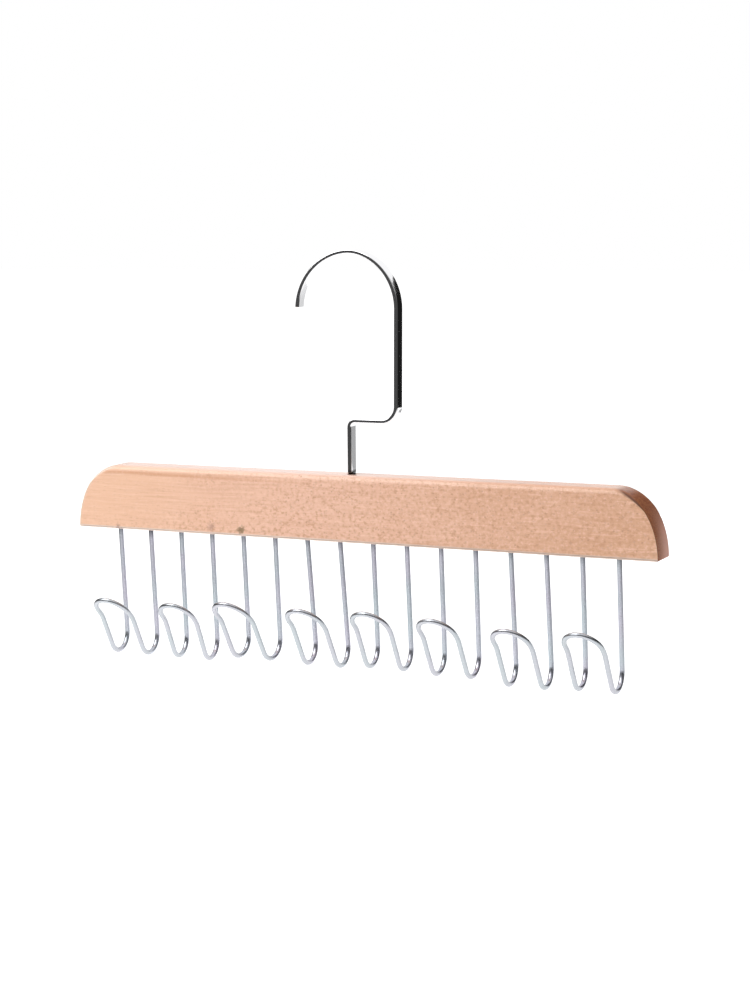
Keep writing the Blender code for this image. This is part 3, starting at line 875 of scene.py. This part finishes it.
def bar_rings():
    """Rings of the bar from its front face to its back face, with all edges rounded.

    Further rings, a holding inset away from the edges, keep the shading of the flat faces flat.
    """
    outline = bar_outline()
    steps = inward_steps(outline)
    angles = [math.pi / 2 * i / EDGE_STEPS for i in range(EDGE_STEPS + 1)]
    front = [(-1, 0, HOLDING_INSET)] + [(-1, a, 0) for a in angles]
    back = [(1, a, 0) for a in reversed(angles)] + [(1, 0, HOLDING_INSET)]
    rings = []
    for side, a, extra in front + back:
        ring = []
        for (x, height), (step_x, step_z) in zip(outline, steps):
            radius = edge_round_at(height)
            inset = radius * (1 - math.sin(a)) + extra
            y = side * (BAR_THICKNESS / 2 - radius * (1 - math.cos(a)))
            ring.append((x + step_x * inset, y, BAR_BASE + height + step_z * inset))
        rings.append(ring)
    middle = len(rings) // 2
    for side in (1, -1):
        edge = rings[middle] if side > 0 else rings[middle - 1]
        rings.insert(middle, [(x, y - side * HOLDING_INSET, z) for x, y, z in edge])
    return rings


def ring_round(x, y, z, radius, count, lean=0.0):
    """A circle round a vertical axis, which leans back by an angle."""
    ring = []
    for i in range(count):
        a = math.tau * i / count
        along = radius * math.sin(a)
        ring.append((x + radius * math.cos(a), y + along * math.cos(lean), z + along * math.sin(lean)))
    return ring


def swivel_cutter():
    """The swivel's hole through the bar: counterbore, bore of the bush and the pin's hole at the top."""
    counterbore = WASHER_RADIUS + FIT_GAP
    counterbore_depth = HEAD_RECESS + HEAD_THICKNESS + WASHER_THICKNESS + 2 * FIT_GAP
    pin_hole = PIN_RADIUS + FIT_GAP
    bore = pin_hole + BUSH_WALL + FIT_GAP
    profile = [
        (counterbore + MOUTH_CHAMFER, -CUT_OVERRUN),
        (counterbore + MOUTH_CHAMFER, 0),
        (counterbore, MOUTH_CHAMFER),
        (counterbore, counterbore_depth),
        (bore, counterbore_depth),
        (bore, BAR_HEIGHT - BUSH_COVER),
        (pin_hole, BAR_HEIGHT - BUSH_COVER),
        (pin_hole, BAR_HEIGHT - MOUTH_CHAMFER),
        (pin_hole + MOUTH_CHAMFER, BAR_HEIGHT),
        (pin_hole + MOUTH_CHAMFER, BAR_HEIGHT + CUT_OVERRUN),
    ]
    rings = [ring_round(SWIVEL_X, 0, BAR_BASE + height, radius, BORE_SIDES) for radius, height in profile]
    return loft("swivel_cutter", rings)


def wire_hole_cutter(x):
    """One leaning blind hole in the bar's underside, with its mouth slightly broken."""
    hole = WIRE_RADIUS + WIRE_HOLE_GAP
    profile = [
        (hole + MOUTH_CHAMFER, -CUT_OVERRUN),
        (hole + MOUTH_CHAMFER, 0),
        (hole, MOUTH_CHAMFER),
        (hole, WIRE_SEAT_DEPTH + HANG_PLAY + FIT_GAP),
    ]
    rings = []
    for radius, depth in profile:
        y = -depth * math.sin(LEG_LEAN)
        z = BAR_BASE + depth * math.cos(LEG_LEAN)
        rings.append(ring_round(x, y, z, radius, HOLE_SIDES, LEG_LEAN))
    return loft("wire_hole_cutter", rings)


def hook_middle(hook):
    """Place along the bar of a wire hook's middle, counted from the left."""
    return BAR_MIDDLE + WIRE_ROW_OFFSET + (2 * hook + 1 - HOOK_COUNT) * LEG_PITCH


def make_bar(wood):
    blank = add_object("bar_blank", loft("bar_blank", bar_rings()))
    cutters = [add_object("swivel_cutter", swivel_cutter())]
    for hook in range(HOOK_COUNT):
        for side in (-1, 1):
            x = hook_middle(hook) + side * LEG_PITCH / 2
            cutters.append(add_object("wire_hole_cutter", wire_hole_cutter(x)))
    for cutter in cutters:
        boolean = blank.modifiers.new("hole", "BOOLEAN")
        boolean.operation = "DIFFERENCE"
        boolean.solver = "EXACT"
        boolean.object = cutter
    bpy.context.view_layer.update()
    evaluated = blank.evaluated_get(bpy.context.evaluated_depsgraph_get())
    mesh = bpy.data.meshes.new_from_object(evaluated)
    mesh.name = "beech_bar"
    for item in [blank, *cutters]:
        bpy.data.objects.remove(item, do_unlink=True)
    add_piece("beech_bar", mesh, wood, "bar", "wooden_bar")


def strip_section(thickness, width):
    """The strip's section as (across its thickness, across its width), faces crowned and corners rounded."""
    corner_u = thickness / 2 - STRIP_EDGE_ROUND
    corner_v = width / 2 - STRIP_EDGE_ROUND
    quarter = []
    for i in range(FACE_STEPS):
        v = corner_v * i / FACE_STEPS
        quarter.append((thickness / 2 - STRIP_CROWN * (v / corner_v) ** 2, v))
    quarter.append((thickness / 2 - STRIP_CROWN, corner_v - STRIP_HOLDING_INSET))
    for i in range(CORNER_STEPS + 1):
        a = math.pi / 2 * i / CORNER_STEPS
        u = corner_u + (STRIP_EDGE_ROUND - STRIP_CROWN) * math.cos(a)
        quarter.append((u, corner_v + STRIP_EDGE_ROUND * math.sin(a)))
    quarter.append((corner_u - STRIP_HOLDING_INSET, width / 2))
    quarter.append((0, width / 2))
    other = [(-u, v) for u, v in reversed(quarter[:-1])]
    half = quarter + other
    return half + [(u, -v) for u, v in reversed(half[1:-1])]


def round_section(radius, count):
    """A round section with its points in the strip section's order."""
    angles = [math.tau * i / count for i in range(count)]
    return [(radius * math.cos(a), radius * math.sin(a)) for a in angles]


def place_section(section, x, z, heading):
    """Sets a section square to the path at (x, z), its width along Y."""
    across_x = math.sin(heading)
    across_z = -math.cos(heading)
    return [(x + u * across_x, v, z + u * across_z) for u, v in section]


def make_top_hook(steel):
    """The top hook from its peened head, up through the bar, to the tip of the crook."""
    up = math.pi / 2
    section = strip_section(STRIP_THICKNESS, STRIP_WIDTH)
    count = len(section)
    head_z = BAR_BASE + HEAD_RECESS
    head_top = head_z + HEAD_THICKNESS
    shoulder = BAR_TOP + FIT_GAP
    rings = []
    drawn = []
    dome = [up * i / HEAD_DOME_STEPS for i in range(1, HEAD_DOME_STEPS + 1)]
    profile = [(HEAD_RADIUS * math.sin(a), head_z + HEAD_THICKNESS / 2 * (1 - math.cos(a))) for a in dome]
    profile += [(HEAD_RADIUS, head_top), (PIN_RADIUS, head_top), (PIN_RADIUS, shoulder)]
    for radius, z in profile:
        flat = round_section(radius, count)
        rings.append(place_section(flat, SWIVEL_X, z, up))
        drawn.append([(u, v, z) for u, v in flat])
    pin = round_section(PIN_RADIUS, count)
    for i in range(1, SHOULDER_STEPS):
        share = i / SHOULDER_STEPS
        eased = share * share * (3 - 2 * share)
        flat = [(a + (c - a) * eased, b + (d - b) * eased) for (a, b), (c, d) in zip(pin, section)]
        z = shoulder + SHOULDER_TAPER * share
        rings.append(place_section(flat, SWIVEL_X, z, up))
        drawn.append([(u, v, z) for u, v in flat])
    strip_z = shoulder + SHOULDER_TAPER
    bend_turn = up - SHANK_LEAN
    bend_reach = SHANK_BEND_RADIUS * math.tan(bend_turn / 2)
    steps = [
        ("run", STRIP_HOLDING_INSET, 1),
        ("run", JOG_Z - STEM_BEND_RADIUS - strip_z - STRIP_HOLDING_INSET, LEG_STEPS),
        ("turn", STEM_BEND_RADIUS, -up, BEND_STEPS),
        ("run", JOG_LENGTH - STEM_BEND_RADIUS - bend_reach, LEG_STEPS),
        ("turn", SHANK_BEND_RADIUS, bend_turn, BEND_STEPS),
        ("run", SHANK_LENGTH - bend_reach, LEG_STEPS),
        ("turn", CROOK_BACK_RADIUS, up + SHANK_LEAN - CROWN_BACK_TURN, CROOK_STEPS),
        ("turn", CROOK_CROWN_RADIUS, CROWN_BACK_TURN + CROWN_FRONT_TURN, CROWN_STEPS),
        ("turn", CROOK_FRONT_RADIUS, CROOK_FRONT_TURN, CROOK_STEPS),
    ]
    path = walk((SWIVEL_X, strip_z), up, steps)
    length = strip_z
    before = path[0]
    for x, z, heading in path:
        length += math.dist((x, z), before[:2])
        before = (x, z)
        rings.append(place_section(section, x, z, heading))
        drawn.append([(u, v, length) for u, v in section])
    tip_x, tip_z, tip_heading = path[-1]
    narrow = strip_section(STRIP_THICKNESS - 2 * TIP_BEVEL, STRIP_WIDTH - 2 * TIP_BEVEL)
    tip_x += TIP_BEVEL * math.cos(tip_heading)
    tip_z += TIP_BEVEL * math.sin(tip_heading)
    rings.append(place_section(narrow, tip_x, tip_z, tip_heading))
    drawn.append([(u, v, length + TIP_BEVEL) for u, v in narrow])
    mesh = loft("rail_hook", rings)
    note_drawn_places(mesh, drawn)
    add_piece("rail_hook", mesh, steel, "hook", "top_hook")


def wire_side_view(hang):
    """Half of a wire hook seen from the side: (y, z, heading) from its end in the bar to the loop."""
    down = LEG_LEAN - math.pi / 2
    seat = WIRE_SEAT_DEPTH - hang
    start = (-seat * math.cos(down), BAR_BASE - seat * math.sin(down))
    steps = [
        ("run", seat, 1),
        ("run", LEG_LENGTH + hang, LEG_STEPS),
        ("turn", U_BEND_RADIUS, FRONT_TILT - LEG_LEAN - math.pi, U_BEND_STEPS),
        ("run", FRONT_LENGTH, LEG_STEPS),
        ("turn", LIP_RADIUS, LIP_TURN, LIP_STEPS),
        ("run", LIP_LENGTH, 1),
    ]
    return walk(start, down, steps)


def wire_route(hook):
    """The wire's middle line from one end in the bar, round the loop, to the other end."""
    hang = HANG_PLAY * HANG_SHARES[hook]
    side_lean = math.tan(math.radians(LEG_SIDE_LEANS_DEG[hook]))
    skew = math.tan(math.radians(LOOP_SKEWS_DEG[hook]))
    side_view = wire_side_view(hang)
    half = LEG_PITCH / 2
    left = [(-half, y, z) for y, z, _ in side_view]
    right = [(half, y, z) for y, z, _ in reversed(side_view)]
    loop_y, loop_z, heading = side_view[-1]
    loop = []
    for i in range(1, LOOP_STEPS):
        a = math.pi * i / LOOP_STEPS
        rise = LOOP_HEIGHT * math.sin(a)
        y = loop_y + rise * math.cos(heading)
        z = loop_z + rise * math.sin(heading)
        loop.append((-half * math.cos(a), y, z))
    foot_place = 1 + LEG_STEPS
    foot_y = side_view[foot_place][0]
    route = left + loop + right
    points = []
    for i, (x, y, z) in enumerate(route):
        shift = side_lean * max(0, BAR_BASE - z)
        if min(i, len(route) - 1 - i) > foot_place:
            shift += skew * (foot_y - y)
        points.append(Vector((hook_middle(hook) + x + shift, y, z)))
    return points


def tube_rings(route, radius, sides):
    """Rings of a round wire along a route, each turned as little as can be, and their drawn places."""
    tangents = []
    for i in range(len(route)):
        ahead = route[min(i + 1, len(route) - 1)] - route[i]
        behind = route[i] - route[max(i - 1, 0)]
        tangents.append((ahead.normalized() + behind.normalized()).normalized())
    side = Vector((1, 0, 0))
    angles = [math.tau * k / sides for k in range(sides)]
    rings = []
    drawn = []
    length = 0.0
    for i, (point, tangent) in enumerate(zip(route, tangents)):
        side = (side - tangent * side.dot(tangent)).normalized()
        other = tangent.cross(side)
        if i:
            length += (point - route[i - 1]).length
        rings.append([point + (side * math.cos(a) + other * math.sin(a)) * radius for a in angles])
        drawn.append([(radius * math.cos(a), radius * math.sin(a), length) for a in angles])
    return rings, drawn


def make_wire_hook(hook, wire):
    name = f"wire_strand_{hook + 1}"
    rings, drawn = tube_rings(wire_route(hook), WIRE_RADIUS, WIRE_SIDES)
    mesh = loft(name, rings)
    shift = hook * LEG_LENGTH
    note_drawn_places(mesh, [[(u, v, along + shift) for u, v, along in ring] for ring in drawn])
    add_piece(name, mesh, wire, "bar", f"wire_hook_{hook + 1}")


def seen_by_eye(tree):
    """1 for the rays that see the background: from the camera, in a reflection or through glass."""
    path = tree.nodes.new("ShaderNodeLightPath")
    total = path.outputs["Is Camera Ray"]
    for name in ("Is Glossy Ray", "Is Transmission Ray"):
        most = tree.nodes.new("ShaderNodeMath")
        most.operation = "MAXIMUM"
        tree.links.new(total, most.inputs[0])
        tree.links.new(path.outputs[name], most.inputs[1])
        total = most.outputs[0]
    return total


def add_stage(name, corners, faces, material):
    mesh = bpy.data.meshes.new(name)
    mesh.from_pydata(corners, [], faces)
    item = add_object(name, mesh, material)
    return item


def make_floor():
    """A pale floor that the camera and the metal see white, with the hanger's soft shadow on it."""
    signs = ((-1, -1), (1, -1), (1, 1), (-1, 1))
    corners = [(sx * FLOOR_HALF_SIZE, sy * FLOOR_HALF_SIZE, FLOOR_Z) for sx, sy in signs]
    paint = Paint("floor")
    tree = paint.tree
    tree.nodes.remove(paint.shader)
    place = paint.node("ShaderNodeTexCoord", {}).outputs["Object"]
    reach = paint.node("ShaderNodeVectorMath", {0: place}, operation="LENGTH").outputs["Value"]
    lift = paint.span(paint.step(reach, FLOOR_NEAR, FLOOR_FAR), FLOOR_NEAR_LIFT, FLOOR_FAR_LIFT)
    glow = paint.node("ShaderNodeEmission", {"Strength": paint.times(lift, seen_by_eye(tree))})
    pale = paint.node("ShaderNodeBsdfDiffuse", {"Color": (FLOOR_ALBEDO, FLOOR_ALBEDO, FLOOR_ALBEDO)})
    both = paint.node("ShaderNodeAddShader", {0: glow.outputs[0], 1: pale.outputs[0]})
    paint.put(tree.nodes["Material Output"].inputs["Surface"], both.outputs[0])
    add_stage("floor", corners, [(0, 1, 2, 3)], paint.material)


def add_card(name, corners, faces, glow, fades=()):
    """A card that only reflections show, of one grey, or paling to white from one height to another."""
    paint = Paint(name)
    paint.tree.nodes.remove(paint.shader)
    height = paint.split(paint.object_place())[2]
    to_white = 1 - glow
    for start, end in fades:
        glow = paint.add(glow, paint.times(paint.step(height, start / MM, end / MM), to_white))
    light = paint.node("ShaderNodeEmission", {"Strength": glow})
    paint.put(paint.tree.nodes["Material Output"].inputs["Surface"], light.outputs[0])
    card = add_stage(name, corners, faces, paint.material)
    card.visible_camera = False
    card.visible_diffuse = False
    card.visible_shadow = False
    card.visible_transmission = False


def make_cards():
    """The cards round the hanger: three upright ones behind it, and a dark round wall with gaps."""
    cards = (
        ("side_card", SIDE_CARD, SIDE_CARD_Y, SIDE_CARD_GLOW, ()),
        ("stem_card", STEM_CARD, NEAR_CARD_Y, STEM_CARD_GLOW, ()),
        ("tip_card", TIP_CARD, NEAR_CARD_Y, TIP_CARD_GLOW, [TIP_FADE_Z]),
    )
    for name, outline, y, glow, fades in cards:
        add_card(name, [(x, y, z) for x, z in outline], [tuple(range(len(outline)))], glow, fades)
    for start, end, top in WALLS:
        pieces = round((end - start) / WALL_PIECE_DEG)
        angles = [math.radians(start + (end - start) * i / pieces) for i in range(pieces + 1)]
        levels = ((SKIRT_RADIUS, SKIRT_Z), (WALL_RADIUS, WALL_BASE_Z), (WALL_RADIUS, top))
        corners = [(radius * math.sin(a), radius * math.cos(a), z) for a in angles for radius, z in levels]
        rise = len(levels)
        faces = []
        for i in range(pieces):
            for low in range(i * rise, (i + 1) * rise - 1):
                faces.append((low, low + rise, low + rise + 1, low + 1))
        add_card("wall_card", corners, faces, WALL_GLOW, [WALL_FADE_Z, (WALL_BASE_Z, SKIRT_Z)])


def make_world():
    world = bpy.data.worlds.new("studio")
    bpy.context.scene.world = world
    world.use_nodes = True
    tree = world.node_tree
    tree.nodes.clear()
    light = tree.nodes.new("ShaderNodeBackground")
    light.inputs["Strength"].default_value = AMBIENT_STRENGTH
    white = tree.nodes.new("ShaderNodeBackground")
    white.inputs["Strength"].default_value = WHITE_STRENGTH
    for node in (light, white):
        node.inputs["Color"].default_value = (1, 1, 1, 1)
    choose = tree.nodes.new("ShaderNodeMixShader")
    tree.links.new(seen_by_eye(tree), choose.inputs[0])
    tree.links.new(light.outputs[0], choose.inputs[1])
    tree.links.new(white.outputs[0], choose.inputs[2])
    output = tree.nodes.new("ShaderNodeOutputWorld")
    tree.links.new(choose.outputs[0], output.inputs["Surface"])


def make_lamp(name, power, azimuth, elevation):
    """One large soft lamp that faces the bar, its azimuth from the front towards the right."""
    middle = Vector((BAR_MIDDLE, 0, (BAR_TOP + BAR_BASE) / 2))
    level = math.cos(elevation)
    towards = Vector((math.sin(azimuth) * level, -math.cos(azimuth) * level, math.sin(elevation)))
    lamp = bpy.data.lights.new(name, "AREA")
    lamp.energy = power
    lamp.size = LAMP_SIZE
    item = bpy.data.objects.new(name, lamp)
    bpy.context.scene.collection.objects.link(item)
    item.location = middle + towards * LAMP_DISTANCE
    item.rotation_mode = "QUATERNION"
    item.rotation_quaternion = towards.to_track_quat("Z", "Y")
    return item


def make_camera():
    data = bpy.data.cameras.new("camera")
    data.sensor_fit = "AUTO"
    data.sensor_width = SENSOR_WIDTH_MM
    data.lens = FOCAL_LENGTH_PX * SENSOR_WIDTH_MM / PHOTO_HEIGHT_PX
    data.shift_x = (PHOTO_WIDTH_PX / 2 - OPTICAL_CENTRE_PX[0]) / PHOTO_HEIGHT_PX
    data.shift_y = (OPTICAL_CENTRE_PX[1] - PHOTO_HEIGHT_PX / 2) / PHOTO_HEIGHT_PX
    camera = bpy.data.objects.new("camera", data)
    bpy.context.scene.collection.objects.link(camera)
    turn = Matrix.Rotation(CAMERA_TURN, 4, "Z")
    tilt = Matrix.Rotation(math.pi / 2 - CAMERA_TILT, 4, "X")
    roll = Matrix.Rotation(CAMERA_ROLL, 4, "Z")
    camera.matrix_world = Matrix.Translation(CAMERA_PLACE) @ turn @ tilt @ roll
    bpy.context.scene.camera = camera


def main():
    bpy.context.scene.view_settings.view_transform = "Standard"
    make_camera()
    make_world()
    make_floor()
    make_cards()
    make_lamp("key_light", KEY_POWER, KEY_AZIMUTH, KEY_ELEVATION)
    fill = make_lamp("fill_light", FILL_POWER, FILL_AZIMUTH, FILL_ELEVATION)
    fill.visible_glossy = False
    make_bar(make_beech())
    make_top_hook(make_polished_strip())
    wire = make_plated_wire()
    for hook in range(HOOK_COUNT):
        make_wire_hook(hook, wire)
    steel = make_turned_steel()
    for name in ("hook_bush", "hook_washer"):
        node = frame["nodes"][name]
        node.data.materials.clear()
        node.data.materials.append(steel)


main()
